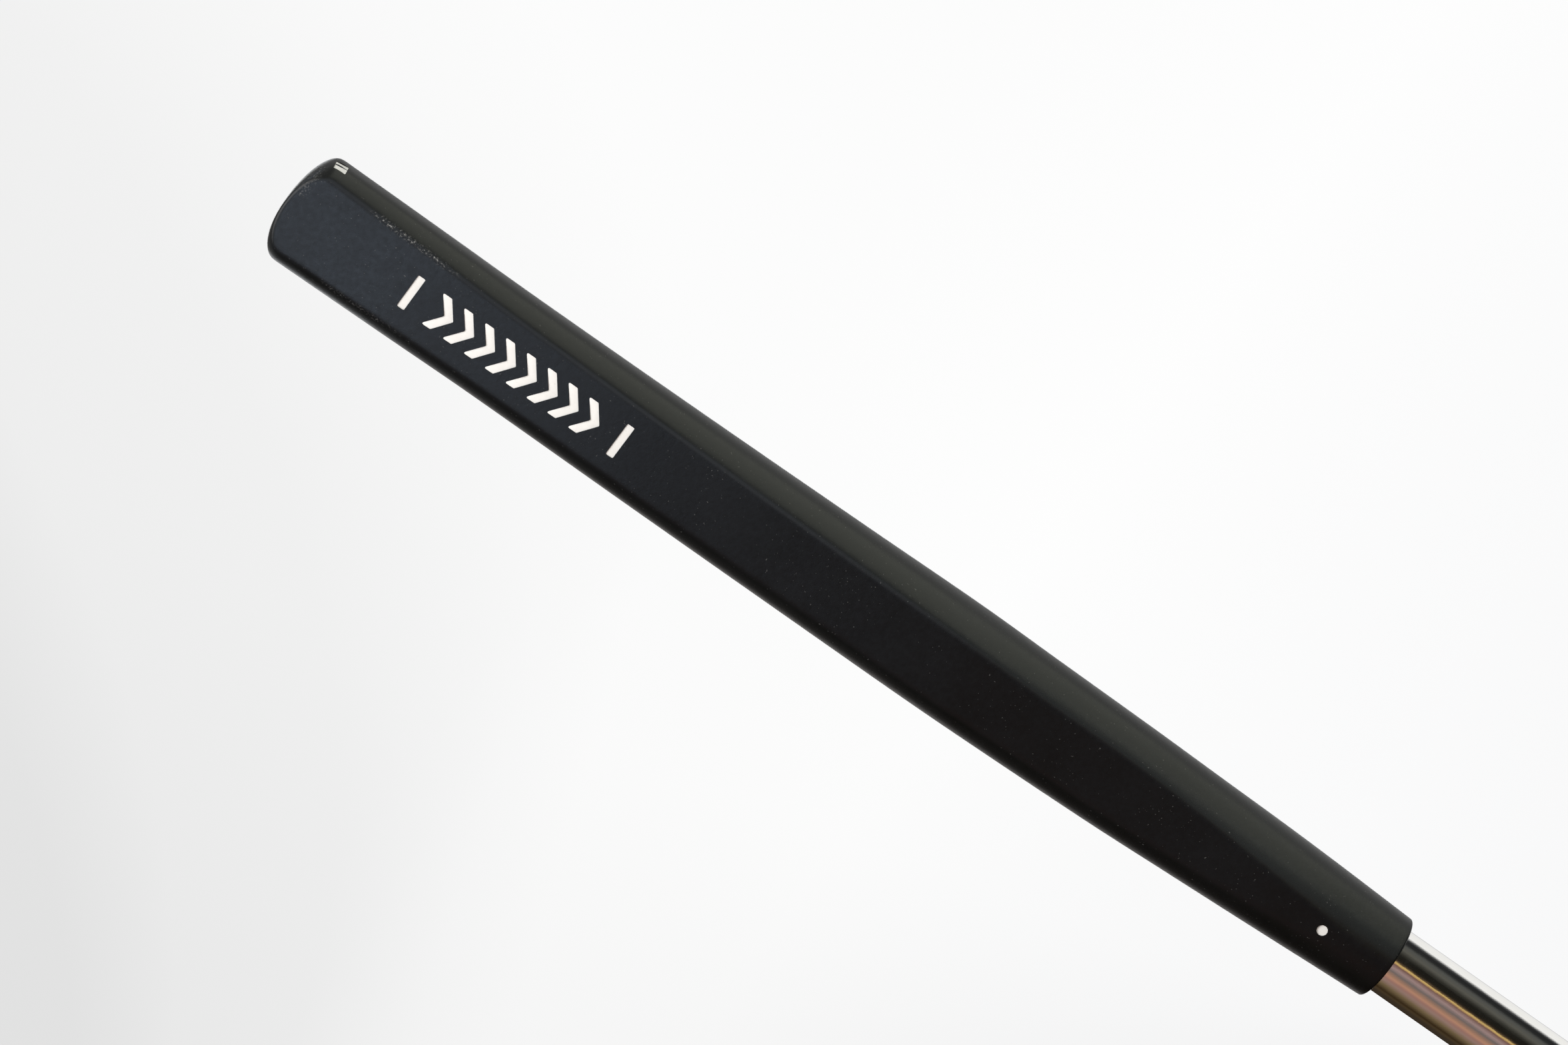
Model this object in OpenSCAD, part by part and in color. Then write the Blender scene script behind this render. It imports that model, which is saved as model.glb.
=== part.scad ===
// Flat-front putter grip on a cut shaft end, in millimetres.
// The origin is the centre of the shaft's open lower end. +Z runs along the shaft to the butt, and the flat faces -Y.

/* [Part to show] */
// Which node to draw, or "all"

/* [Lengths] */
// Length of the grip from its mouth to the top of its butt
grip_length = 277.3; // [240:0.1:330]
// Length of shaft left showing below the mouth
shaft_showing = 51.1; // [20:0.1:200]
// Height of the domed end
dome_height = 5.4; // [2:0.2:8]
// Distance of the dome's highest point in front of the axis
dome_forward = 8.6; // [0:0.1:8.6]
// Height of the butt cap, from its seam with the sleeve to its top
cap_height = 9.5; // [8:0.5:14]
// Thickness of solid rubber between the shaft's end and the top of the butt
cap_floor = 6.5; // [4:0.5:8]
// Radius of the rounded edge round the mouth
mouth_round = 0.5; // [0.4:0.1:1.6]

/* [Shaft and tape] */
// Outside radius of the shaft
shaft_radius = 7.365; // [7.3:0.005:7.8]
// Thickness of the shaft's wall
shaft_wall = 0.64; // [0.4:0.01:1.2]
// Thickness of the double-sided tape
tape_thickness = 0.17; // [0.1:0.01:0.3]
// Gap between the tape's two long edges, at the back
tape_slit = 0.8; // [0.2:0.1:3]
// How far the tape stops short of the mouth
tape_inset = 4; // [0:0.5:20]

/* [Holes] */
// Radius of the air hole through the butt
vent_radius = 1.6; // [1:0.1:2.5]

/* [Front motif] */
// Distance from the top of the butt to the middle of the motif
motif_middle = 57.5; // [40:0.5:120]
// Number of chevrons
chevron_count = 8; // [1:1:8]
// Distance from one chevron to the next
chevron_pitch = 5.2; // [3:0.1:8]
// Width of the motif across the flat
motif_width = 8; // [4:0.5:10]
// How far a chevron's point leads its ends
chevron_rise = 3; // [1:0.1:4]
// Thickness of a chevron's stroke, along the grip
chevron_stroke = 2.3; // [0.8:0.1:3]
// Thickness of the bar at each end of the motif
bar_stroke = 1.8; // [0.8:0.1:3]
// Distance from the motif's middle to the middle of each end bar
bar_reach = 26; // [10:0.1:40]

/* [Small marks] */
// Distance from the top of the butt to the middle of the marks on the side of the butt
shoulder_from_butt = 5.4; // [5.4:0.1:8]
// Length of each mark along the grip
shoulder_length = 2.8; // [1:0.1:3]
// Width of each mark round the grip
shoulder_width = 1.5; // [0.5:0.1:2]
// Angle of the first mark from the side of the grip, towards the front
shoulder_angle = 24; // [0:1:40]
// Angle between the two marks
shoulder_step = 18; // [10:1:24]
// Distance from the top of the butt to the alignment dot
dot_from_butt = 260.8; // [240:0.1:268]
// Radius of the alignment dot
dot_radius = 1.2; // [0.6:0.1:2]

/* [Hidden] */
// Depth of a paint recess, and how far the paint sits below the rubber
recess_depth = 0.45;
paint_sink = 0.2;
// The same on the rounded side of the butt, measured from a plane that touches it, and how far that plane leans back
shoulder_depth = 0.65;
shoulder_sink = 0.32;
shoulder_lean = 8;
// Room left between pieces that are glued or bonded face to face
bond_gap = 0.005;
// How far a cutting tool runs past what it cuts
past = 1;
round_steps = 96;
butt_z = shaft_showing + grip_length;
seam_z = butt_z - cap_height;
shaft_top = butt_z - cap_floor;
bore_radius = shaft_radius + tape_thickness + 3 * bond_gap;

// The grip's cross-section at distances from the top of the butt:
// [distance, half width, flat's half width, flat in front of the axis, widest line in front of the axis, back depth]
sections = [
    [0, 12.45, 9.6, 8.7, 4.0, 15.6],
    [12, 12.37, 9.25, 8.9, 4.0, 15.6],
    [33, 12.18, 8.75, 9.5, 3.85, 15.4],
    [53, 11.98, 8.3, 10.0, 3.7, 14.9],
    [94, 12.15, 7.8, 11.1, 3.65, 13.8],
    [136, 12.38, 7.45, 11.7, 3.1, 13.1],
    [165, 12.55, 7.3, 11.95, 2.4, 12.6],
    [185, 12.33, 6.8, 11.5, 2.4, 12.2],
    [210, 11.92, 6.4, 10.9, 1.9, 11.6],
    [227, 11.4, 5.5, 10.7, 1.2, 11.1],
    [244, 10.87, 4.1, 10.7, 0.4, 10.6],
    [256, 10.42, 2.95, 10.5, 0.1, 10.3],
    [266, 10.0, 1.6, 10.15, 0, 10.0],
    [278, 9.5, 0.4, 9.6, 0, 9.5]
];

// The flat's edge is never closer to the middle than this turn, so that its points stay apart near the top
least_edge_angle = 3;
// Steps round each quarter of a section
flat_steps = 4;
side_steps = 10;
back_steps = 28;

// A smooth curve through column k of the sections
function row_below(x, i = 0) = i >= len(sections) - 2 || sections[i + 1][0] > x ? i : row_below(x, i + 1);
function knot_slope(i, k) =
    let (a = max(i - 1, 0), b = min(i + 1, len(sections) - 1))
    (sections[b][k] - sections[a][k]) / (sections[b][0] - sections[a][0]);
function smooth(x, k) =
    let (
        i = row_below(x),
        w = sections[i + 1][0] - sections[i][0],
        t = (x - sections[i][0]) / w,
        s = 1 - t
    )
    sections[i][k] * s * s * (1 + 2 * t) + sections[i + 1][k] * t * t * (1 + 2 * s)
    + w * s * t * (knot_slope(i, k) * s - knot_slope(i + 1, k) * t);

function half_width(x) = smooth(x, 1);
function flat_half(x) = smooth(x, 2);
function flat_front(x) = smooth(x, 3);
function widest(x) = smooth(x, 4);
function back_depth(x) = smooth(x, 5);

// The dome is the uncut body, scaled towards the dome's highest point. The flat then cuts it off.
function dome_scale(x) =
    let (up = max(1 - x / dome_height, 0))
    sqrt(max(1 - up * up, 0));
function dome_widest(x) = dome_forward + (widest(x) - dome_forward) * dome_scale(x);

// The mouth's rounded edge, as a scale towards the axis
function mouth_scale(x) =
    let (
        down = max(x - grip_length + mouth_round, 0) / mouth_round,
        inset = mouth_round * (1 - sqrt(max(1 - down * down, 0)))
    )
    1 - inset / half_width(x);

// Points of the side between the flat's edge and the widest line, for a turn from 0 to 90 degrees
function side_reach(x) = (flat_front(x) - widest(x)) / cos(asin(flat_half(x) / half_width(x)));
function edge_angle(x) =
    max(acos(min((flat_front(x) - dome_widest(x)) / (dome_scale(x) * side_reach(x)), 1)), least_edge_angle);
function side_point(x, angle) = [
    dome_scale(x) * half_width(x) * sin(angle),
    -dome_widest(x) - dome_scale(x) * side_reach(x) * cos(angle)
];
function back_point(x, angle) = [
    dome_scale(x) * half_width(x) * cos(angle),
    -dome_widest(x) + dome_scale(x) * back_depth(x) * sin(angle)
];
function side_turn(x, i) = edge_angle(x) + (90 - edge_angle(x)) * i / side_steps;
function outline(x) =
    let (corner = side_point(x, edge_angle(x)))
    concat(
        [for (i = [0 : flat_steps]) [corner[0] * (2 * i / flat_steps - 1), corner[1]]],
        [for (i = [1 : side_steps]) side_point(x, side_turn(x, i))],
        [for (i = [1 : back_steps]) back_point(x, 180 * i / back_steps)],
        [for (i = [side_steps - 1 : -1 : 1]) let (p = side_point(x, side_turn(x, i))) [-p[0], p[1]]]
    );
function ring(x) = [for (p = outline(x)) [p[0] * mouth_scale(x), p[1] * mouth_scale(x), butt_z - x]];

// A closed skin through the sections at the given distances from the top of the butt
module skin(distances) {
    rings = [for (x = distances) ring(x)];
    count = len(rings[0]);
    last = len(rings) - 1;
    points = [for (r = rings) each r];
    walls = [
        for (j = [0 : last - 1], i = [0 : count - 1])
            let (a = j * count + i, b = j * count + (i + 1) % count)
            each [[a, b, b + count], [a, b + count, a + count]]
    ];
    // Each end starts from the middle of the back, because the points of the flat are in one line
    start = flat_steps + side_steps + back_steps / 2;
    top = [for (i = [0 : count - 1]) (start + count - i) % count];
    bottom = [for (i = [0 : count - 1]) last * count + (start + i) % count];
    polyhedron(points = points, faces = concat(walls, [top, bottom]), convexity = 4);
}

// Stations for the two rubber pieces: close together where the shape turns quickly
dome_stations = [for (a = [8 : 8 : 90]) dome_height * (1 - cos(a))];
cap_stations = concat(dome_stations, [dome_height, (dome_height + cap_height) / 2, cap_height]);
sleeve_steps = 58;
sleeve_end = grip_length - mouth_round;
sleeve_run = [for (i = [0 : sleeve_steps]) cap_height + (sleeve_end - cap_height) * i / sleeve_steps];
mouth_run = [for (a = [22.5 : 22.5 : 67.5]) sleeve_end + mouth_round * sin(a)];
sleeve_stations = concat(sleeve_run, mouth_run, [grip_length - mouth_round / 100]);

// Tilt of the flat along the grip, in degrees
function flat_tilt(x) = atan(flat_front(x + 1) - flat_front(x - 1)) / 2;

// Puts a flat shape on the front, its floor at one depth below the rubber and its top at another
module on_front(x, floor_depth, top_depth) {
    translate([0, -flat_front(x), butt_z - x])
        rotate([90 + flat_tilt(x), 0, 0])
            translate([0, 0, -floor_depth])
                linear_extrude(floor_depth - top_depth) children();
}

// The same on the side of the butt, where the surface faces the given angle in front of +X
module on_shoulder(angle, floor_depth, top_depth) {
    turn = atan2(half_width(shoulder_from_butt), side_reach(shoulder_from_butt) * tan(angle));
    spot = side_point(shoulder_from_butt, turn);
    translate([spot[0], spot[1], butt_z - shoulder_from_butt])
        rotate([90 - shoulder_lean, 0, 90 - angle])
            translate([0, 0, -floor_depth])
                linear_extrude(floor_depth - top_depth) children();
}

module chevron_shape() {
    half = motif_width / 2;
    polygon([
        [-half, chevron_rise / 2], [0, -chevron_rise / 2], [half, chevron_rise / 2],
        [half, chevron_rise / 2 + chevron_stroke], [0, chevron_stroke - chevron_rise / 2],
        [-half, chevron_rise / 2 + chevron_stroke]
    ]);
}

module bar_shape() {
    square([motif_width, bar_stroke], center = true);
}

module shoulder_shape() {
    square([shoulder_width, shoulder_length], center = true);
}

function chevron_at(n) = motif_middle + (n - (chevron_count + 1) / 2) * chevron_pitch + chevron_stroke / 2;
function bar_at(n) = motif_middle + (n == 1 ? -bar_reach : bar_reach);
function shoulder_at(n) = shoulder_angle - (n - 1) * shoulder_step;

module front_recesses() {
    for (n = [1 : chevron_count])
        on_front(chevron_at(n), recess_depth, -past) chevron_shape();
    for (n = [1 : 2])
        on_front(bar_at(n), recess_depth, -past) bar_shape();
    on_front(dot_from_butt, recess_depth, -past) circle(r = dot_radius, $fn = round_steps);
}

module shoulder_recesses() {
    for (n = [1 : 2])
        on_shoulder(shoulder_at(n), shoulder_depth, -past) shoulder_shape();
}

module shaft() {
    color([0.78, 0.78, 0.8])
        difference() {
            cylinder(r = shaft_radius, h = shaft_top, $fn = round_steps);
            translate([0, 0, -past])
                cylinder(r = shaft_radius - shaft_wall, h = shaft_top + 2 * past, $fn = round_steps);
        }
}

module grip_tape() {
    inner = shaft_radius + bond_gap;
    low = shaft_showing + tape_inset;
    color([0.85, 0.8, 0.68])
        difference() {
            translate([0, 0, low])
                cylinder(r = inner + tape_thickness, h = shaft_top - low, $fn = round_steps);
            translate([0, 0, low - past])
                cylinder(r = inner, h = shaft_top - low + 2 * past, $fn = round_steps);
            translate([-tape_slit / 2, 0, low - past])
                cube([tape_slit, bore_radius + past, shaft_top - low + 2 * past]);
        }
}

module grip_sleeve() {
    color([0.07, 0.075, 0.085])
        difference() {
            skin(sleeve_stations);
            translate([0, 0, shaft_showing - past])
                cylinder(r = bore_radius, h = seam_z - shaft_showing + 2 * past, $fn = round_steps);
            front_recesses();
        }
}

module butt_cap() {
    color([0.06, 0.065, 0.075])
        difference() {
            skin(cap_stations);
            translate([0, 0, seam_z - past])
                cylinder(r = bore_radius, h = shaft_top + bond_gap - seam_z + past, $fn = round_steps);
            translate([0, 0, shaft_top - past])
                cylinder(r = vent_radius, h = cap_floor + 2 * past, $fn = round_steps);
            shoulder_recesses();
        }
}

module chevron_fill(n) {
    color([0.95, 0.94, 0.91])
        on_front(chevron_at(n), recess_depth - bond_gap, paint_sink) chevron_shape();
}

module bar_fill(n) {
    color([0.95, 0.94, 0.91])
        on_front(bar_at(n), recess_depth - bond_gap, paint_sink) bar_shape();
}

module shoulder_fill(n) {
    color([0.95, 0.94, 0.91])
        on_shoulder(shoulder_at(n), shoulder_depth - bond_gap, shoulder_sink) shoulder_shape();
}

module alignment_dot() {
    color([0.9, 0.89, 0.86])
        on_front(dot_from_butt, recess_depth - bond_gap, paint_sink) circle(r = dot_radius, $fn = round_steps);
}

shaft();
grip_tape();
grip_sleeve();
butt_cap();
for (n = [1 : chevron_count])
    chevron_fill(n);
for (n = [1 : 2])
    bar_fill(n);
for (n = [1 : 2])
    shoulder_fill(n);
alignment_dot();
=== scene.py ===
# A flat-front putter grip on a cut shaft end, in metres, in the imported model's frame.
import math
from collections import namedtuple

import bmesh
import bpy
import numpy as np
from mathutils import Matrix, Vector


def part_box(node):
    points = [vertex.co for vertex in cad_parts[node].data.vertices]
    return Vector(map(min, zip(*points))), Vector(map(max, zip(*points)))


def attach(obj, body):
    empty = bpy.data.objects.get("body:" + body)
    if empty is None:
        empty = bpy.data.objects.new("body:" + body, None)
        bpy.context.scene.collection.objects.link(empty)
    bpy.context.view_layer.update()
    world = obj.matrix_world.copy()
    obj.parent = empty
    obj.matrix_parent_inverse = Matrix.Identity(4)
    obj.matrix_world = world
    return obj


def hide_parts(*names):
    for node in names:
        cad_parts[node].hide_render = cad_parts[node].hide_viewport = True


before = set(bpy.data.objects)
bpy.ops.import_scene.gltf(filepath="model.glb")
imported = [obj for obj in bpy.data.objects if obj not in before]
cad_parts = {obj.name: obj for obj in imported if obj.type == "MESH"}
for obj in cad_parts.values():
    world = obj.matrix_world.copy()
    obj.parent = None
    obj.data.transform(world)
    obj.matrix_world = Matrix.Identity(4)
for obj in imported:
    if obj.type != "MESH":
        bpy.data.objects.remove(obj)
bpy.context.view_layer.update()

MM = 0.001

# ---------------------------------------------------------------- the grip's shape, in millimetres
# Its sections, by these columns: distance from the top of the butt, half width, flat's half width,
# flat in front of the axis, widest line in front of the axis, depth of the back behind that line.
AT, WIDTH, FLAT, FRONT, WIDEST, BACK = range(6)
SECTIONS = np.array([
    [0, 12.45, 9.6, 8.7, 4.0, 15.6],
    [12, 12.37, 9.25, 8.9, 4.0, 15.6],
    [33, 12.18, 8.75, 9.5, 3.85, 15.4],
    [53, 11.98, 8.3, 10.0, 3.7, 14.9],
    [94, 12.15, 7.8, 11.1, 3.65, 13.8],
    [136, 12.38, 7.45, 11.7, 3.1, 13.1],
    [165, 12.55, 7.3, 11.95, 2.4, 12.6],
    [185, 12.33, 6.8, 11.5, 2.4, 12.2],
    [210, 11.92, 6.4, 10.9, 1.9, 11.6],
    [227, 11.4, 5.5, 10.7, 1.2, 11.1],
    [244, 10.87, 4.1, 10.7, 0.4, 10.6],
    [256, 10.42, 2.95, 10.5, 0.1, 10.3],
    [266, 10.0, 1.6, 10.15, 0, 10.0],
    [278, 9.5, 0.4, 9.6, 0, 9.5],
])
LENGTH = 277.3        # of the grip, from its mouth to the top of its butt
DOME = 5.4            # height of the domed end
DOME_FORWARD = 8.6    # how far the dome's highest point is in front of the axis
MOUTH_ROUND = 0.5     # radius of the mouth's outer edge
EDGE_SOFT = 0.6       # how far the moulding's edges are rounded
AROUND = 208          # points round the grip
BORE = 7.55           # radius of the hole that holds the taped shaft
VENT = 1.6            # radius of the air hole
OUTSIDE_RINGS, BORE_RINGS, MOUTH_RINGS = 360, 60, 8    # of the sleeve
DOME_RINGS, CAP_RINGS = 60, 90                         # of the dome as drawn, and of the cap's skin
LIP = 0.25            # radius of the rounded lip of either hole
LIP_MIDDLE = 0.07     # how far the middle of that lip is from the two faces it joins

SEAM_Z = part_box("butt_cap")[0][2] / MM
MOUTH_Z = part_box("grip_sleeve")[0][2] / MM
SHAFT_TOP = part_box("shaft")[1][2] / MM
SHAFT_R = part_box("shaft")[1][0] / MM
SHAFT_WALL = 0.64
SHAFT_SOFT = 0.12     # how far the shaft's rims are rounded
SHAFT_GUARD = 0.25    # distance from a rim's rounding to the nearest ring of the wall
BUTT_Z = MOUTH_Z + LENGTH
CAP_DEPTH = BUTT_Z - SEAM_Z


def smooth(x, column):
    """A column of SECTIONS at distance x from the top of the butt, on a smooth curve."""
    xs, ys = SECTIONS[:, AT], SECTIONS[:, column]
    lo = np.maximum(np.arange(len(xs)) - 1, 0)
    hi = np.minimum(np.arange(len(xs)) + 1, len(xs) - 1)
    slope = (ys[hi] - ys[lo]) / (xs[hi] - xs[lo])
    i = np.clip(np.searchsorted(xs, x, side="right") - 1, 0, len(xs) - 2)
    w = xs[i + 1] - xs[i]
    t = (x - xs[i]) / w
    s = 1 - t
    return (ys[i] * s * s * (1 + 2 * t) + ys[i + 1] * t * t * (1 + 2 * s)
            + w * s * t * (slope[i] * s - slope[i + 1] * t))


Section = namedtuple("Section", "width flat front widest back reach")


def section(x):
    """The measures of the section at distance x, and the reach of its side.

    From the flat's edge to the widest line the section is part of an ellipse, whose centre is on that
    line and whose half axes are the half width and this reach.
    """
    measures = (WIDTH, FLAT, FRONT, WIDEST, BACK)
    width, flat, front, widest, back = (float(smooth(x, column)) for column in measures)
    reach = (front - widest) / math.cos(math.asin(flat / width))
    return Section(width, flat, front, widest, back, reach)


def outline(x):
    """The section at distance x as AROUND evenly spaced points, from the middle of the front to +X."""
    here = section(x)
    across = np.linspace(0, here.flat, 29, endpoint=False)
    side = np.linspace(math.asin(here.flat / here.width), math.pi / 2, 60)
    rear = np.linspace(0, math.pi / 2, 90)[1:]
    px = np.concatenate([across, here.width * np.sin(side), here.width * np.cos(rear)])
    py = np.concatenate([np.full(len(across), -here.front), -here.widest - here.reach * np.cos(side),
                         -here.widest + here.back * np.sin(rear)])
    px = np.concatenate([px, -px[-2:0:-1], px[:1]])
    py = np.concatenate([py, py[-2:0:-1], py[:1]])
    run = np.concatenate([[0], np.cumsum(np.hypot(np.diff(px), np.diff(py)))])
    at = np.arange(AROUND) * run[-1] / AROUND
    ring = np.interp(at, run, px) + 1j * np.interp(at, run, py)
    wave = np.fft.fftfreq(AROUND) * AROUND * 2 * math.pi / run[-1]
    ring = np.fft.ifft(np.fft.fft(ring) * np.exp(-0.5 * (wave * EDGE_SOFT) ** 2))
    return np.stack([ring.real, ring.imag], axis=1)


def ring_at(x, inset=0.0):
    """The section at distance x, pulled in by inset, as points in space."""
    ring = outline(x) * (1 - inset / float(smooth(x, WIDTH)))
    return np.column_stack([ring, np.full(AROUND, BUTT_Z - x)])


def circle_like(ring, radius, z):
    """A circle whose points stand at the same angles as ring's."""
    angle = np.arctan2(ring[:, 1], ring[:, 0])
    return np.column_stack([radius * np.cos(angle), radius * np.sin(angle), np.full(len(ring), z)])


def mesh_from_rings(name, rings):
    """A mesh of quads through equal rings, the last of which is joined to the first."""
    count = len(rings[0])
    verts = np.concatenate(rings) * MM
    faces = []
    for j in range(len(rings)):
        a, b = j * count, (j + 1) % len(rings) * count
        for i in range(count):
            k = (i + 1) % count
            faces.append((a + i, a + k, b + k, b + i))
    mesh = bpy.data.meshes.new(name)
    mesh.from_pydata([tuple(v) for v in verts], [], faces)
    bm = bmesh.new()
    bm.from_mesh(mesh)
    bmesh.ops.recalc_face_normals(bm, faces=bm.faces)
    bm.to_mesh(mesh)
    bm.free()
    mesh.update()
    return mesh


def add(name, mesh):
    obj = bpy.data.objects.new(name, mesh)
    bpy.context.scene.collection.objects.link(obj)
    return obj


def finish_shading(mesh, angle=32):
    """Smooth shading, but for the edges that are sharper than angle, in degrees."""
    mesh.polygons.foreach_set("use_smooth", np.ones(len(mesh.polygons), bool))
    mesh.set_sharp_from_angle(angle=math.radians(angle))


def piece(name, mesh, material, slot, *nodes):
    """A finished piece of the object, which stands for the named CAD nodes."""
    obj = add(name, mesh)
    mesh.materials.clear()
    mesh.materials.append(material)
    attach(obj, "root")
    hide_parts(*nodes)
    return obj


# ---------------------------------------------------------------- the motif, as in the CAD
MOTIF_MIDDLE, MOTIF_WIDTH = 57.5, 8.0
CHEVRONS, PITCH, RISE, STROKE = 8, 5.2, 3.0, 2.3
BAR_STROKE, BAR_REACH = 1.8, 26.0
SHOULDER_AT, SHOULDER_LONG, SHOULDER_WIDE, SHOULDER_LEAN = 5.4, 2.8, 1.5, 8
SHOULDER_ANGLES = (24, 6)
DOT_AT, DOT_R, DOT_STEPS = 260.8, 1.2, 48
CORNER, SHOULDER_CORNER = 0.35, 0.25
RECESS, SINK = 0.45, 0.2                        # depth of a recess, and of the paint's top in it
SHOULDER_RECESS, SHOULDER_SINK = 0.65, 0.32     # the same on the butt
PROUD = 1.0           # how far a cutting tool stands out of the rubber
PAINT_GAP = 0.01      # between the paint and the recess's floor
PAINT_SOFT = 0.06     # how far the paint's upper edge is rounded


def rounded(points, radius, steps=5):
    """The polygon with each corner turned into a small curve."""
    share = 2.2    # a curve takes at most one part in this many of a side, so that two never meet
    out = []
    for i, p in enumerate(points):
        p = Vector(p)
        before, after = Vector(points[i - 1]), Vector(points[(i + 1) % len(points)])
        a, b = (before - p).normalized(), (after - p).normalized()
        half = a.angle(b) / 2
        reach = min(radius / math.tan(half), (before - p).length / share, (after - p).length / share)
        start, end = p + a * reach, p + b * reach
        for k in range(steps + 1):
            t = k / steps
            out.append(start * (1 - t) ** 2 + p * 2 * t * (1 - t) + end * t * t)
    return out


def chevron_shape():
    half, low = MOTIF_WIDTH / 2, RISE / 2
    return rounded([(-half, low), (0, -low), (half, low), (half, low + STROKE), (0, STROKE - low),
                    (-half, low + STROKE)], CORNER)


def bar_shape(width, height, corner):
    w, h = width / 2, height / 2
    return rounded([(-w, -h), (w, -h), (w, h), (-w, h)], corner)


def dot_shape():
    turn = np.arange(DOT_STEPS) * 2 * math.pi / DOT_STEPS
    return [Vector((DOT_R * math.cos(a), DOT_R * math.sin(a))) for a in turn]


def front_place(x):
    """Where a flat shape goes on the front: its X stays across the grip and its Z points out of it."""
    tilt = math.atan((float(smooth(x + 1, FRONT)) - float(smooth(x - 1, FRONT))) / 2)
    return (Matrix.Translation((0, -float(smooth(x, FRONT)), BUTT_Z - x))
            @ Matrix.Rotation(math.pi / 2 + tilt, 4, "X"))


def shoulder_place(angle):
    """The same on the side of the butt, facing angle degrees in front of +X."""
    here = section(SHOULDER_AT)
    turn = math.atan2(here.width, here.reach * math.tan(math.radians(angle)))
    spot = (here.width * math.sin(turn), -here.widest - here.reach * math.cos(turn), BUTT_Z - SHOULDER_AT)
    return (Matrix.Translation(spot) @ Matrix.Rotation(math.radians(90 - angle), 4, "Z")
            @ Matrix.Rotation(math.radians(90 - SHOULDER_LEAN), 4, "X"))


def plate(name, shape, place, low, high, soften=0.0):
    """A plate of the given outline, from low to high along its own Z, with its upper edge softened."""
    bm = bmesh.new()
    base = [bm.verts.new((p[0], p[1], low)) for p in shape]
    face = bm.faces.new(base)
    top = bmesh.ops.extrude_face_region(bm, geom=[face])["geom"]
    upper = {g for g in top if isinstance(g, bmesh.types.BMVert)}
    for v in upper:
        v.co.z = high
    if soften:
        rim = [e for e in bm.edges if upper.issuperset(e.verts)]
        bmesh.ops.bevel(bm, geom=rim, offset=soften, segments=3, profile=0.6, affect="EDGES")
    bmesh.ops.recalc_face_normals(bm, faces=bm.faces)
    bmesh.ops.transform(bm, matrix=Matrix.Scale(MM, 4) @ place, verts=bm.verts)
    mesh = bpy.data.meshes.new(name)
    bm.to_mesh(mesh)
    bm.free()
    return mesh


# Every painted shape is (name of its CAD node, outline, place).
MOTIF = [(f"chevron_fill_{n}", chevron_shape(),
          front_place(MOTIF_MIDDLE + (n - (CHEVRONS + 1) / 2) * PITCH + STROKE / 2))
         for n in range(1, CHEVRONS + 1)]
MOTIF += [(f"bar_fill_{n}", bar_shape(MOTIF_WIDTH, BAR_STROKE, CORNER),
           front_place(MOTIF_MIDDLE + side * BAR_REACH)) for n, side in ((1, -1), (2, 1))]
DOT = [("alignment_dot", dot_shape(), front_place(DOT_AT))]
SHOULDER = [(f"shoulder_fill_{n}", bar_shape(SHOULDER_WIDE, SHOULDER_LONG, SHOULDER_CORNER),
             shoulder_place(angle)) for n, angle in enumerate(SHOULDER_ANGLES, 1)]


def cut(mesh, shapes, depth):
    """Cuts the recesses of the given shapes out of mesh, and returns the new mesh."""
    body = add("cut_body", mesh)
    tools = bmesh.new()
    for name, shape, place in shapes:
        tool = plate(name, shape, place, -depth, PROUD)
        tools.from_mesh(tool)
        bpy.data.meshes.remove(tool)
    tool_mesh = bpy.data.meshes.new("cut_tools")
    tools.to_mesh(tool_mesh)
    tools.free()
    cutter = add("cut_tools", tool_mesh)
    change = body.modifiers.new("recesses", "BOOLEAN")
    change.operation, change.solver, change.object = "DIFFERENCE", "MANIFOLD", cutter
    graph = bpy.context.evaluated_depsgraph_get()
    done = bpy.data.meshes.new_from_object(body.evaluated_get(graph))
    for obj in (body, cutter):
        old = obj.data
        bpy.data.objects.remove(obj)
        bpy.data.meshes.remove(old)
    return done


def sleeve_mesh():
    """From the cap's seam down the outside, round the mouth and up the bore."""
    end = LENGTH - MOUTH_ROUND
    just_short = 0.999    # the rounding stops just above the mouth's own plane
    rings = [ring_at(x) for x in np.linspace(CAP_DEPTH, end, OUTSIDE_RINGS)]
    for a in np.linspace(0, math.pi / 2, MOUTH_RINGS + 1)[1:]:
        rings.append(ring_at(end + MOUTH_ROUND * math.sin(a) * just_short, MOUTH_ROUND * (1 - math.cos(a))))
    last = rings[-1]
    rings.append(circle_like(last, BORE + LIP, MOUTH_Z))
    rings.append(circle_like(last, BORE + LIP_MIDDLE, MOUTH_Z + LIP_MIDDLE))
    for z in np.linspace(MOUTH_Z + LIP, SEAM_Z, BORE_RINGS):
        rings.append(circle_like(last, BORE, z))
    return mesh_from_rings("grip_sleeve_rubber", rings)


def dome_drop(x, y):
    """How far the dome is below its top at (x, y).

    Its level lines are the section halfway down the dome, without the flat, scaled towards the
    highest point.
    """
    here = section(DOME / 2)
    y = y + DOME_FORWARD
    shift = here.widest - DOME_FORWARD

    def growth(depth):
        """What (x, y) is multiplied by to lie on the ellipse of this depth."""
        a = (x / here.width) ** 2 + (y / depth) ** 2 + 1e-9    # never zero, not even at the top
        b = y * shift / depth ** 2
        return (np.sqrt(b * b + a * (1 - (shift / depth) ** 2)) - b) / a

    grown = growth(here.back)
    grown = np.where(y * grown + shift >= 0, grown, growth(here.reach))
    return DOME * (1 - np.sqrt(1 - np.clip(1 / grown, 0, 1) ** 2))


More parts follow.
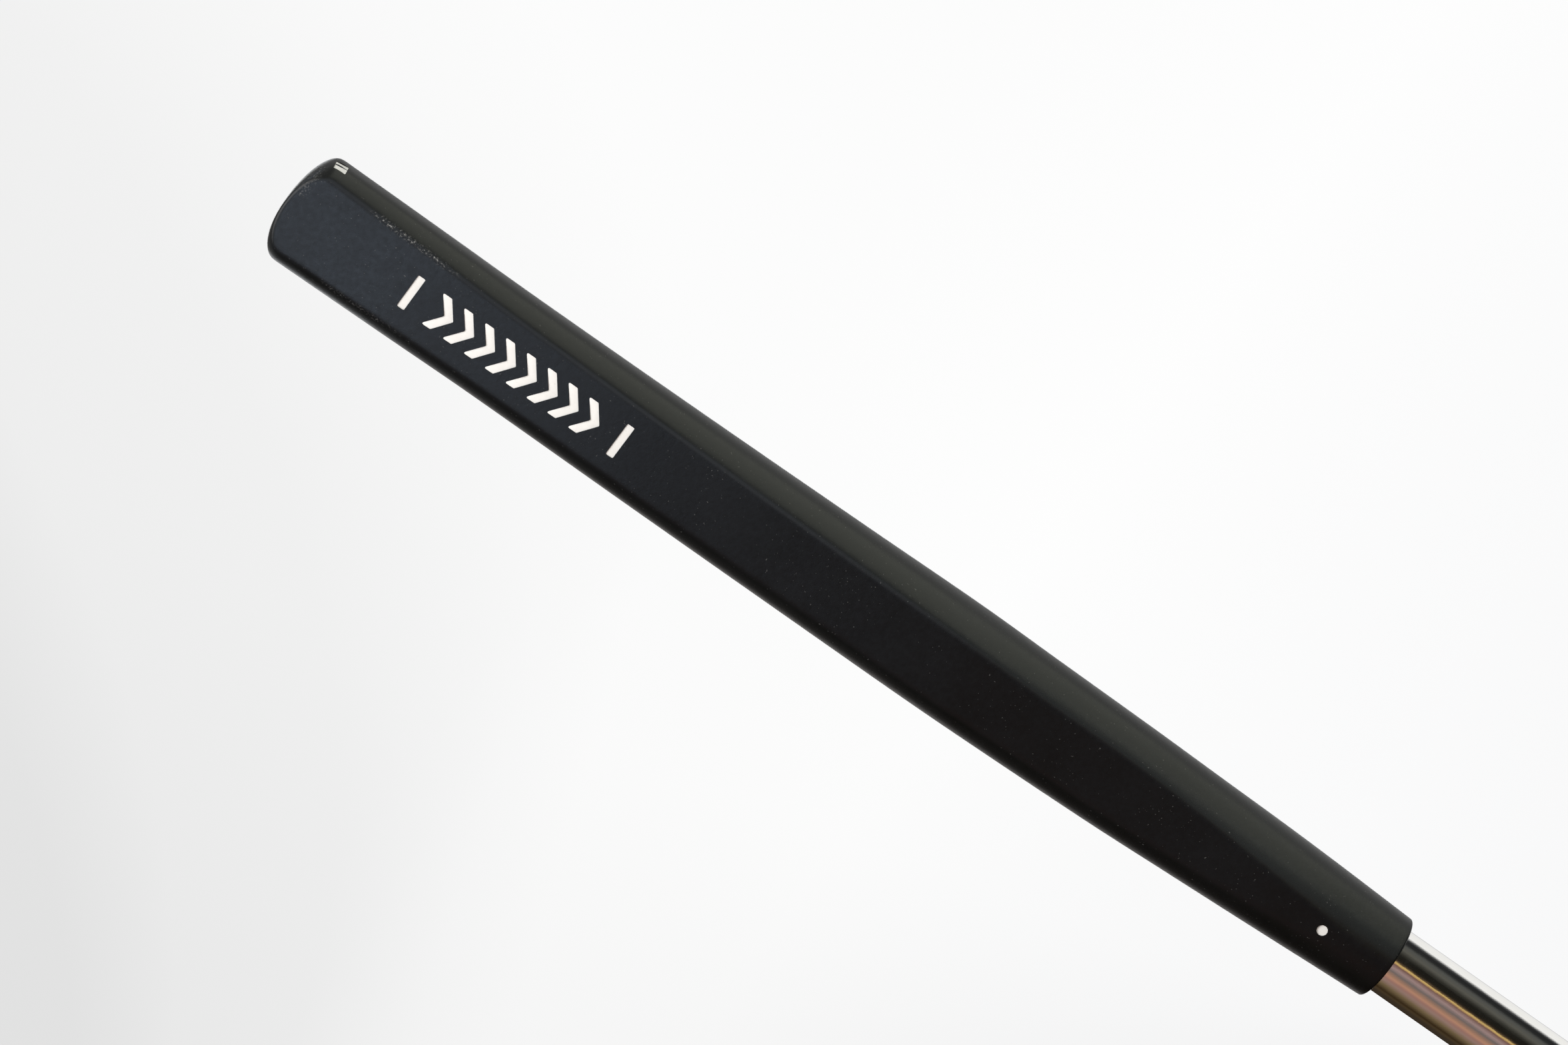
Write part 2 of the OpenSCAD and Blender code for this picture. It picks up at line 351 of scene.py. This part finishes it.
def soften(path, count):
    """An open line as count evenly spaced points, with its corners rounded and its ends unmoved."""
    run = np.concatenate([[0], np.cumsum(np.linalg.norm(np.diff(path, axis=0), axis=1))])
    at = np.linspace(0, run[-1], count)
    even = np.column_stack([np.interp(at, run, path[:, k]) for k in range(3)])
    step = run[-1] / (count - 1)
    far = int(3 * EDGE_SOFT / step) + 1
    weights = np.exp(-0.5 * (np.arange(-far, far + 1) * step / EDGE_SOFT) ** 2)
    weights /= weights.sum()
    padded = np.concatenate([2 * even[0] - even[far:0:-1], even, 2 * even[-1] - even[-2:-far - 2:-1]])
    return np.column_stack([np.convolve(padded[:, k], weights, "valid") for k in range(3)])


def cap_mesh():
    """From the air hole over the dome and down the side, then in along the seam and back up the hole."""
    edge = ring_at(DOME)
    hole = circle_like(edge, VENT + LIP, BUTT_Z)
    top = []
    for t in np.sin(np.linspace(0, math.pi / 2, DOME_RINGS)):
        ring = hole * (1 - t) + edge * t
        ring[:, 2] = BUTT_Z - dome_drop(ring[:, 0], ring[:, 1])
        top.append(ring)
    levels = np.linspace(0, CAP_DEPTH, 24)
    sides = np.array([outline(x) for x in levels])
    columns = []
    for i in range(AROUND):
        down = np.linspace(BUTT_Z - top[-1][i, 2], CAP_DEPTH, 20)[1:]
        wall = np.column_stack([np.interp(down, levels, sides[:, i, 0]),
                                np.interp(down, levels, sides[:, i, 1]), BUTT_Z - down])
        columns.append(soften(np.concatenate([[ring[i] for ring in top], wall]), CAP_RINGS))
    rings = list(np.array(columns).transpose(1, 0, 2))
    rings.append(circle_like(edge, BORE, SEAM_Z))
    rings.append(circle_like(edge, BORE, SHAFT_TOP))
    rings.append(circle_like(edge, VENT, SHAFT_TOP))
    for out, below in ((0, LIP), (LIP_MIDDLE, LIP_MIDDLE)):
        lip = circle_like(edge, VENT + out, BUTT_Z)
        lip[:, 2] = rings[0][:, 2] - below
        rings.append(lip)
    return mesh_from_rings("butt_cap_rubber", rings)


def lathe(name, profile, steps=160):
    """A closed turned mesh from a closed profile of (radius, height) pairs in millimetres."""
    turn = np.arange(steps) * 2 * math.pi / steps
    rings = [np.column_stack([r * np.cos(turn), r * np.sin(turn), np.full(steps, z)]) for r, z in profile]
    return mesh_from_rings(name, rings)


def shaft_mesh():
    """The tube, with softened rims and a ring near each, so that its walls shade as straight ones."""
    outer, inner, soft = SHAFT_R, SHAFT_R - SHAFT_WALL, SHAFT_SOFT
    middle = soft * 0.3    # how far the middle of a rim's rounding is from the two faces it joins
    inside = np.linspace(soft + SHAFT_GUARD, SHAFT_TOP - soft - SHAFT_GUARD, 40)
    heights = np.concatenate([[soft], inside, [SHAFT_TOP - soft]])
    side = [(outer, z) for z in heights]
    bore = [(inner, z) for z in heights[::-1]]
    top = [(outer - middle, SHAFT_TOP - middle), (outer - soft, SHAFT_TOP),
           (inner + soft, SHAFT_TOP), (inner + middle, SHAFT_TOP - middle)]
    bottom = [(inner + middle, middle), (inner + soft, 0), (outer - soft, 0), (outer - middle, middle)]
    return lathe("shaft_tube", side + top + bore + bottom)


# ---------------------------------------------------------------- materials
def new_material(name):
    mat = bpy.data.materials.new(name)
    mat.use_nodes = True
    tree = mat.node_tree
    return mat, tree, tree.nodes["Principled BSDF"]


def link(tree, a, b):
    tree.links.new(a, b)


def node(tree, kind, **settings):
    made = tree.nodes.new(kind)
    for key, value in settings.items():
        setattr(made, key, value)
    return made


def object_coords(tree):
    return node(tree, "ShaderNodeTexCoord").outputs["Object"]


def noise(tree, coords, scale, detail=3.0, rough=0.55):
    made = node(tree, "ShaderNodeTexNoise")
    made.inputs["Scale"].default_value = scale
    made.inputs["Detail"].default_value = detail
    made.inputs["Roughness"].default_value = rough
    link(tree, coords, made.inputs["Vector"])
    return made.outputs["Fac"]


def remap(tree, value, *limits):
    """Takes value from the first two limits to the last two, and no further."""
    made = node(tree, "ShaderNodeMapRange")
    for key, limit in zip(("From Min", "From Max", "To Min", "To Max"), limits):
        made.inputs[key].default_value = limit
    link(tree, value, made.inputs["Value"])
    return made.outputs["Result"]


def spread(tree, cloud, low, high):
    """A noise, most of which lies between 0.3 and 0.7, taken from there to between low and high."""
    return remap(tree, cloud, 0.3, 0.7, low, high)


def math_node(tree, operation, a, b=None):
    made = node(tree, "ShaderNodeMath", operation=operation)
    for socket, value in zip(made.inputs, (a, b)):
        if value is None:
            continue
        if isinstance(value, (int, float)):
            socket.default_value = value
        else:
            link(tree, value, socket)
    return made.outputs[0]


def stretched(tree, coords, *scale):
    """Coordinates scaled along X, Y and Z, so that a noise in them is drawn out."""
    made = node(tree, "ShaderNodeMapping")
    made.inputs["Scale"].default_value = scale
    link(tree, coords, made.inputs["Vector"])
    return made.outputs["Vector"]


def mix_colour(tree, fac, a, b):
    """From a to b by fac. a and b are colours or sockets, and fac is a socket."""
    made = node(tree, "ShaderNodeMix", data_type="RGBA")
    # By name these sockets can't be told from the node's sockets for numbers and vectors.
    for socket, value in ((made.inputs[0], fac), (made.inputs[6], a), (made.inputs[7], b)):
        if isinstance(value, tuple):
            socket.default_value = (*value, 1)
        else:
            link(tree, value, socket)
    return made.outputs[2]


def bump(tree, height, strength, distance, normal=None):
    made = node(tree, "ShaderNodeBump")
    made.inputs["Strength"].default_value = strength
    made.inputs["Distance"].default_value = distance
    link(tree, height, made.inputs["Height"])
    if normal:
        link(tree, normal, made.inputs["Normal"])
    return made.outputs["Normal"]


def ramp(tree, value, stops):
    """A colour ramp whose stops are (value, colour), in rising order. A single number is a grey."""
    stops = [(at, colour if isinstance(colour, tuple) else (colour,) * 3) for at, colour in stops]
    made = node(tree, "ShaderNodeValToRGB")
    cells = made.color_ramp.elements
    cells.remove(cells[1])
    for at, colour in stops[1:]:
        cells.new(at).color = (*colour, 1)
    cells[0].position, cells[0].color = stops[0][0], (*stops[0][1], 1)
    link(tree, value, made.inputs["Fac"])
    return made.outputs["Color"]


def turn_of(tree, x, y):
    """The direction of (x, y), from +Y towards +X: 0 at -180 degrees, 0.5 at +Y and 1 at 180 degrees."""
    angle = math_node(tree, "ARCTAN2", x, y)
    return math_node(tree, "ADD", math_node(tree, "DIVIDE", angle, 2 * math.pi), 0.5)


def around(stops):
    """Stops given in degrees, from -180 to 180, as stops for turn_of."""
    return [(degrees / 360 + 0.5, colour) for degrees, colour in stops]


def rubber_material(name):
    """Matt moulded rubber: a satin grain, faint blotches of handling shine, dust and scuffed edges."""
    mat, tree, shader = new_material(name)
    here = object_coords(tree)
    blotch = noise(tree, here, 55, 3)
    fine = noise(tree, here, 900, 2)
    grain = noise(tree, here, 4200, 2)
    dust = remap(tree, noise(tree, here, 2100, 1), 0.735, 0.775, 0, 1)
    scuff = node(tree, "ShaderNodeAttribute", attribute_name="scuff").outputs["Fac"]
    torn = remap(tree, noise(tree, here, 2300, 4, 0.7), 0.53, 0.66, 0, 1)
    scuffs = math_node(tree, "MULTIPLY", scuff, torn)
    pale = math_node(tree, "MAXIMUM", math_node(tree, "MULTIPLY", dust, 0.13), scuffs)
    base = mix_colour(tree, spread(tree, blotch, 0, 1), (0.0011, 0.0013, 0.0014), (0.0019, 0.0021, 0.0023))
    link(tree, mix_colour(tree, pale, base, (0.3, 0.285, 0.265)), shader.inputs["Base Color"])
    rough = math_node(tree, "ADD", spread(tree, blotch, 0.32, 0.37), spread(tree, fine, -0.03, 0.03))
    rough = math_node(tree, "ADD", rough, math_node(tree, "MULTIPLY", pale, 0.3))
    link(tree, rough, shader.inputs["Roughness"])
    shader.inputs["Specular IOR Level"].default_value = 0.2
    shape = bump(tree, grain, 0.12, 0.00006)
    link(tree, bump(tree, fine, 0.1, 0.0002, shape), shader.inputs["Normal"])
    return mat


def paint_material():
    """White paint flooded into a recess: satin, a little uneven, with a few darker pits."""
    mat, tree, shader = new_material("white_paint")
    here = object_coords(tree)
    cloud = noise(tree, here, 700, 3)
    pits = remap(tree, noise(tree, here, 2600, 1), 0.72, 0.78, 0, 0.35)
    base = mix_colour(tree, spread(tree, cloud, 0, 1), (0.93, 0.915, 0.88), (0.88, 0.865, 0.83))
    link(tree, mix_colour(tree, pits, base, (0.4, 0.39, 0.37)), shader.inputs["Base Color"])
    link(tree, spread(tree, cloud, 0.3, 0.42), shader.inputs["Roughness"])
    link(tree, bump(tree, cloud, 0.25, 0.0001), shader.inputs["Normal"])
    return mat


def chrome_material():
    """Chrome plating: bright, with faint polishing lines along the tube and light handling marks."""
    mat, tree, shader = new_material("shaft_chrome")
    here = object_coords(tree)
    lines = noise(tree, stretched(tree, here, 1, 1, 0.04), 2600, 3)
    marks = noise(tree, here, 240, 4)
    shader.inputs["Metallic"].default_value = 1.0
    base = mix_colour(tree, marks, (0.80, 0.79, 0.77), (0.74, 0.73, 0.71))
    link(tree, base, shader.inputs["Base Color"])
    rough = math_node(tree, "ADD", spread(tree, marks, 0.035, 0.07),
                      remap(tree, lines, 0.4, 0.7, 0, 0.02))
    link(tree, rough, shader.inputs["Roughness"])
    ripple = bump(tree, noise(tree, here, 420, 3), 0.05, 0.0004)
    link(tree, bump(tree, lines, 0.04, 0.0001, ripple), shader.inputs["Normal"])
    return mat


def tape_material():
    """Crepe masking-type tape with adhesive on both faces."""
    mat, tree, shader = new_material("tape_crepe")
    here = object_coords(tree)
    crepe = noise(tree, stretched(tree, here, 0.25, 0.25, 1), 1800, 4)
    link(tree, mix_colour(tree, crepe, (0.74, 0.68, 0.52), (0.86, 0.82, 0.7)), shader.inputs["Base Color"])
    link(tree, spread(tree, crepe, 0.6, 0.8), shader.inputs["Roughness"])
    link(tree, bump(tree, crepe, 0.4, 0.0002), shader.inputs["Normal"])
    return mat


RUBBER = rubber_material("rubber_sleeve")
CAP_RUBBER = rubber_material("rubber_cap")
PAINT = paint_material()
CHROME = chrome_material()
TAPE = tape_material()


# Where the rubber is worn: along the flat's two edges near the butt, and on the butt's front corner
WEAR_FROM, WEAR_TO = 15, 38    # along the edges, down from the top of the butt
WEAR_RIGHT, WEAR_LEFT, WEAR_CORNER = 0.85, 0.2, 0.25    # how much of it there is
WEAR_WIDTH = 0.45
CORNER_AT, CORNER_WIDTH = 1.9, 0.9    # down from the top of the butt


def write_scuffs(mesh):
    """Marks where the rubber is worn, for its material."""
    co = np.empty(len(mesh.vertices) * 3)
    mesh.vertices.foreach_get("co", co)
    x, y, z = co.reshape(-1, 3).T / MM
    down = BUTT_Z - z
    edge = smooth(np.clip(down, 0, LENGTH), FLAT)
    on_edge = np.exp(-((np.abs(x) - edge) / WEAR_WIDTH) ** 2) * (y < -6)
    run = np.clip((down - WEAR_FROM) / 4, 0, 1) * np.clip((WEAR_TO - down) / 9, 0, 1)
    corner = np.exp(-((down - CORNER_AT) / CORNER_WIDTH) ** 2) * (y < -3) * (x > 3)
    value = np.clip(on_edge * run * np.where(x > 0, WEAR_RIGHT, WEAR_LEFT) + WEAR_CORNER * corner, 0, 1)
    made = mesh.attributes.new("scuff", "FLOAT", "POINT")
    made.data.foreach_set("value", value.astype(np.float32))


# ---------------------------------------------------------------- the pieces
sleeve = cut(sleeve_mesh(), MOTIF + DOT, RECESS)
finish_shading(sleeve)
write_scuffs(sleeve)
piece("grip_sleeve_rubber", sleeve, RUBBER, "rubber", "grip_sleeve")

cap = cut(cap_mesh(), SHOULDER, SHOULDER_RECESS)
finish_shading(cap)
write_scuffs(cap)
piece("butt_cap_rubber", cap, CAP_RUBBER, "cap_rubber", "butt_cap")

tube = shaft_mesh()
finish_shading(tube, 25)
piece("shaft_tube", tube, CHROME, "shaft_chrome", "shaft")

for group, depth, sink in ((MOTIF + DOT, RECESS, SINK), (SHOULDER, SHOULDER_RECESS, SHOULDER_SINK)):
    for name, shape, place in group:
        fill = plate(name + "_paint", shape, place, PAINT_GAP - depth, -sink, PAINT_SOFT)
        finish_shading(fill, 50)
        piece(name + "_paint", fill, PAINT, "white_paint", name)

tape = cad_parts["grip_tape"]
for slot in tape.material_slots:
    slot.material = TAPE

# ---------------------------------------------------------------- floor and backdrop
FLOOR_R, SWEEP_R, WALL_TOP = 2.0, 1.4, 4.2    # the flat floor, the sweep's own radius, the wall's height
SWEEP_STEPS = 96
# How bright the paper glows, dimmed in places as painted shade: over X from DIM_FROM to DIM_TO, as (place
# between them, brightness), and round the middle, as (degrees from +Y towards +X, brightness).
DIM_FROM, DIM_TO = -1.25, -0.5
PAINTED_SHADE_BY_X = ((0.0, 0.82), (0.25, 0.83), (0.35, 0.89), (0.52, 0.907), (0.73, 0.975), (0.87, 1.0))
PAINTED_SHADE_AROUND = ((-180, 1.0), (-120, 0.97), (-70, 0.88), (-45, 0.88), (-26, 0.93), (-21, 0.98), (-15, 1.0))


def backdrop():
    """A round sweep: a flat floor that turns up into a wall all round."""
    profile = [(r, 0.0) for r in (0.2, 0.6, 1.2, FLOOR_R)]
    profile += [(FLOOR_R + SWEEP_R * math.sin(a), SWEEP_R - SWEEP_R * math.cos(a))
                for a in np.linspace(0, math.pi / 2, 17)[1:]]
    profile += [(FLOOR_R + SWEEP_R, z) for z in (2.4, WALL_TOP)]
    turn = [2 * math.pi * i / SWEEP_STEPS for i in range(SWEEP_STEPS)]
    bm = bmesh.new()
    centre = bm.verts.new((0, 0, 0))
    rows = [[bm.verts.new((r * math.cos(a), r * math.sin(a), z)) for a in turn] for r, z in profile]
    for i in range(SWEEP_STEPS):
        k = (i + 1) % SWEEP_STEPS
        bm.faces.new((centre, rows[0][i], rows[0][k]))
        for low, high in zip(rows, rows[1:]):
            bm.faces.new((low[i], high[i], high[k], low[k]))
    mesh = bpy.data.meshes.new("studio_sweep")
    bm.to_mesh(mesh)
    bm.free()
    mesh.polygons.foreach_set("use_smooth", np.ones(len(mesh.polygons), bool))
    mesh.materials.append(backdrop_material())
    obj = add("studio_sweep", mesh)
    for kind in ("diffuse", "glossy", "transmission", "volume_scatter", "shadow"):
        setattr(obj, "visible_" + kind, False)


def backdrop_material():
    """White paper that glows so that it stays white, with painted shade in the glow; takes only a little of
    the grip's shadow.
    """
    mat = bpy.data.materials.new("studio_paper")
    mat.use_nodes = True
    tree = mat.node_tree
    tree.nodes.clear()
    out = node(tree, "ShaderNodeOutputMaterial")
    glow = node(tree, "ShaderNodeEmission")
    paper = node(tree, "ShaderNodeBsdfDiffuse")
    paper.inputs["Color"].default_value = (0.85, 0.85, 0.85, 1)
    both = node(tree, "ShaderNodeMixShader")
    both.inputs["Fac"].default_value = 0.06
    place = node(tree, "ShaderNodeSeparateXYZ")
    link(tree, object_coords(tree), place.inputs[0])
    x, y = place.outputs["X"], place.outputs["Y"]
    squares = math_node(tree, "ADD", math_node(tree, "POWER", x, 2), math_node(tree, "POWER", y, 2))
    # Painted shade: the glow is a little darker near the middle of the floor, where the grip stands.
    near = remap(tree, math_node(tree, "SQRT", squares), 0.1, 1.0, 0, 1)
    link(tree, mix_colour(tree, near, (0.935, 0.935, 0.94), (1.0, 1.0, 1.0)), glow.inputs["Color"])
    # Painted shade: the glow is dimmed towards -X, and on the side between -X and +Y.
    shade_x = ramp(tree, remap(tree, x, DIM_FROM, DIM_TO, 0, 1), PAINTED_SHADE_BY_X)
    shade_around = ramp(tree, turn_of(tree, x, y), around(PAINTED_SHADE_AROUND))
    link(tree, math_node(tree, "MULTIPLY", shade_x, shade_around), glow.inputs["Strength"])
    link(tree, glow.outputs[0], both.inputs[1])
    link(tree, paper.outputs[0], both.inputs[2])
    link(tree, both.outputs[0], out.inputs["Surface"])
    return mat


backdrop()

# ---------------------------------------------------------------- light
def srgb(*levels):
    """A colour in the renderer's own linear light, from levels out of 255."""
    return tuple(((level / 255 + 0.055) / 1.055) ** 2.4 for level in levels)


def direction(compass, rise):
    """A unit vector, from degrees of the compass, where 0 is -Y and 90 is +X, and degrees of rise."""
    a, e = math.radians(compass), math.radians(rise)
    return Vector((math.sin(a) * math.cos(e), -math.cos(a) * math.cos(e), math.sin(e)))


# What stands round the grip, as (compass, colour): low down, where the chrome mirrors it, and above.
LOW_AROUND = (
    (-180, 0.7), (-168, 0.7), (-162, srgb(56, 47, 37)), (-112, srgb(62, 52, 41)), (-99, srgb(76, 62, 43)),
    (-88, srgb(58, 44, 27)), (-78, srgb(86, 71, 49)), (-64, srgb(122, 104, 76)), (-48, srgb(158, 129, 119)),
    (-38, srgb(164, 124, 113)), (-29, srgb(194, 145, 120)), (-22, srgb(172, 132, 110)),
    (-9, srgb(120, 110, 107)), (3, srgb(170, 144, 141)), (10, srgb(146, 118, 113)), (15, srgb(124, 92, 82)),
    (18, srgb(196, 160, 108)), (22, srgb(228, 195, 120)), (25, srgb(110, 88, 62)), (29, srgb(56, 46, 36)),
    (34, srgb(34, 31, 25)), (48, srgb(32, 31, 27)), (58, srgb(62, 61, 55)), (70, srgb(96, 95, 88)),
    (84, srgb(88, 89, 86)), (95, srgb(46, 47, 47)), (107, srgb(40, 41, 42)), (115, srgb(80, 81, 82)),
    (124, (0.88, 0.88, 0.87)), (150, (0.84, 0.84, 0.82)), (178, 0.7))
HIGH_AROUND = (
    (-180, 0.35), (-160, (0.27, 0.26, 0.24)), (-75, (0.3, 0.3, 0.29)), (-45, (0.38, 0.41, 0.44)),
    (10, (0.4, 0.43, 0.46)), (50, (0.55, 0.57, 0.5)), (110, (0.9, 0.91, 0.84)), (137, (1.1, 1.1, 1.07)),
    (165, 0.4), (180, 0.35))
LOW_RISE, HIGH_RISE = -12, 3    # degrees: all low below the first, all high above the second


def world_light():
    """A light tent: pale above, with darker, coloured surroundings near the floor."""
    world = bpy.data.worlds.new("studio")
    bpy.context.scene.world = world
    world.use_nodes = True
    tree = world.node_tree
    tree.nodes.clear()
    out = node(tree, "ShaderNodeOutputWorld")
    sky = node(tree, "ShaderNodeBackground")
    split = node(tree, "ShaderNodeSeparateXYZ")
    link(tree, node(tree, "ShaderNodeTexCoord").outputs["Generated"], split.inputs[0])
    compass = turn_of(tree, split.outputs["X"], math_node(tree, "MULTIPLY", split.outputs["Y"], -1))
    limits = [math.sin(math.radians(rise)) for rise in (LOW_RISE, HIGH_RISE)]
    rise = remap(tree, split.outputs["Z"], *limits, 0, 1)
    low = ramp(tree, compass, around(LOW_AROUND))
    high = ramp(tree, compass, around(HIGH_AROUND))
    link(tree, mix_colour(tree, rise, low, high), sky.inputs["Color"])
    link(tree, sky.outputs[0], out.inputs["Surface"])


world_light()


def softbox(name, compass, rise, distance, size, power, height=0.19, colour=(1, 1, 1), only=None):
    """A rectangular light that looks at the grip's axis at this height. only names what it lights."""
    light = bpy.data.lights.new(name, "AREA")
    light.shape, light.size, light.size_y = "RECTANGLE", size[0], size[1]
    light.energy, light.color = power, colour
    obj = bpy.data.objects.new(name, light)
    out = direction(compass, rise)
    obj.location = Vector((0, 0, height)) + out * distance
    obj.rotation_euler = out.to_track_quat("Z", "Y").to_euler()
    obj.visible_camera = False
    if only:
        lit = bpy.data.collections.new(name + "_lit")
        for piece_name in only:
            lit.objects.link(bpy.data.objects[piece_name])
        obj.light_linking.receiver_collection = lit
    bpy.context.scene.collection.objects.link(obj)


GRIP = ["grip_sleeve_rubber", "butt_cap_rubber"]
WHITE = [name + "_paint" for name, shape, place in MOTIF + SHOULDER]
BLUE = (0.68, 0.81, 1.0)
# name, compass, rise, distance, size, watts, height looked at, colour, what it lights
softbox("key_box", -20, 58, 1.5, (1.5, 1.5), 37)
softbox("butt_card", -14, 0, 0.5, (0.2, 0.12), 0.54, 0.33, BLUE, GRIP)
softbox("dome_card", -10, 26, 0.5, (0.2, 0.14), 0.3, 0.33, BLUE, ["butt_cap_rubber"])
softbox("top_card", 165, 65, 0.6, (0.4, 0.4), 0.4, 0.33, BLUE, ["butt_cap_rubber"])
softbox("edge_card", 25, 0, 0.5, (0.35, 0.34), 0.82, 0.28, (0.8, 0.88, 1.0), GRIP)
softbox("side_strip", 88, 0, 0.5, (0.55, 0.62), 2.4, 0.14, (0.97, 1.0, 0.86), GRIP)
softbox("mouth_card", 45, 0, 0.5, (0.4, 0.25), 0.4, -0.07, (0.93, 1.0, 0.95), GRIP)
softbox("low_card", -128, 0, 0.35, (0.2, 0.12), 0.1, 0.335, (0.9, 0.95, 1.0), GRIP)
softbox("paint_card", 10, 35, 0.8, (0.5, 0.5), 0.85, 0.27, (1, 1, 1), WHITE)
softbox("back_card", 197, -8, 0.9, (0.34, 0.9), 2.6, 0.19, (0.95, 0.98, 1.0), GRIP)
softbox("rim_card", -143, -5, 0.9, (0.6, 0.9), 0.9, 0.16, (1.0, 0.96, 0.95), GRIP)
softbox("shaft_card", 150, -13, 0.5, (0.46, 0.4), 0.13, 0.025, (1, 1, 1), ["shaft_tube"])

# ---------------------------------------------------------------- camera
COMPASS, ELEVATION, ROLL = 16.94, 7.5, -55.05    # degrees
AIM, DISTANCE = Vector((0.0023, 0.0007, 0.2065)), 1.6388
SENSOR, LENS = 36, 183.6    # millimetres
FARTHEST = 50    # metres, what the camera still sees


def camera():
    """A long lens a little above the grip, turned so that the butt is at the upper left."""
    data = bpy.data.cameras.new("camera")
    data.sensor_width, data.lens, data.clip_end = SENSOR, LENS, FARTHEST
    obj = bpy.data.objects.new("camera", data)
    back = direction(COMPASS, ELEVATION)
    side = Vector((0, 0, 1)).cross(back).normalized()
    level = Matrix((side, back.cross(side), back)).transposed().to_4x4()
    turned = Matrix.Rotation(math.radians(ROLL), 4, "Z")
    obj.matrix_world = Matrix.Translation(AIM + back * DISTANCE) @ level @ turned
    bpy.context.scene.collection.objects.link(obj)
    bpy.context.scene.camera = obj


camera()

view = bpy.context.scene.view_settings
view.view_transform, view.look, view.exposure, view.gamma = "Standard", "None", 0.0, 1.0
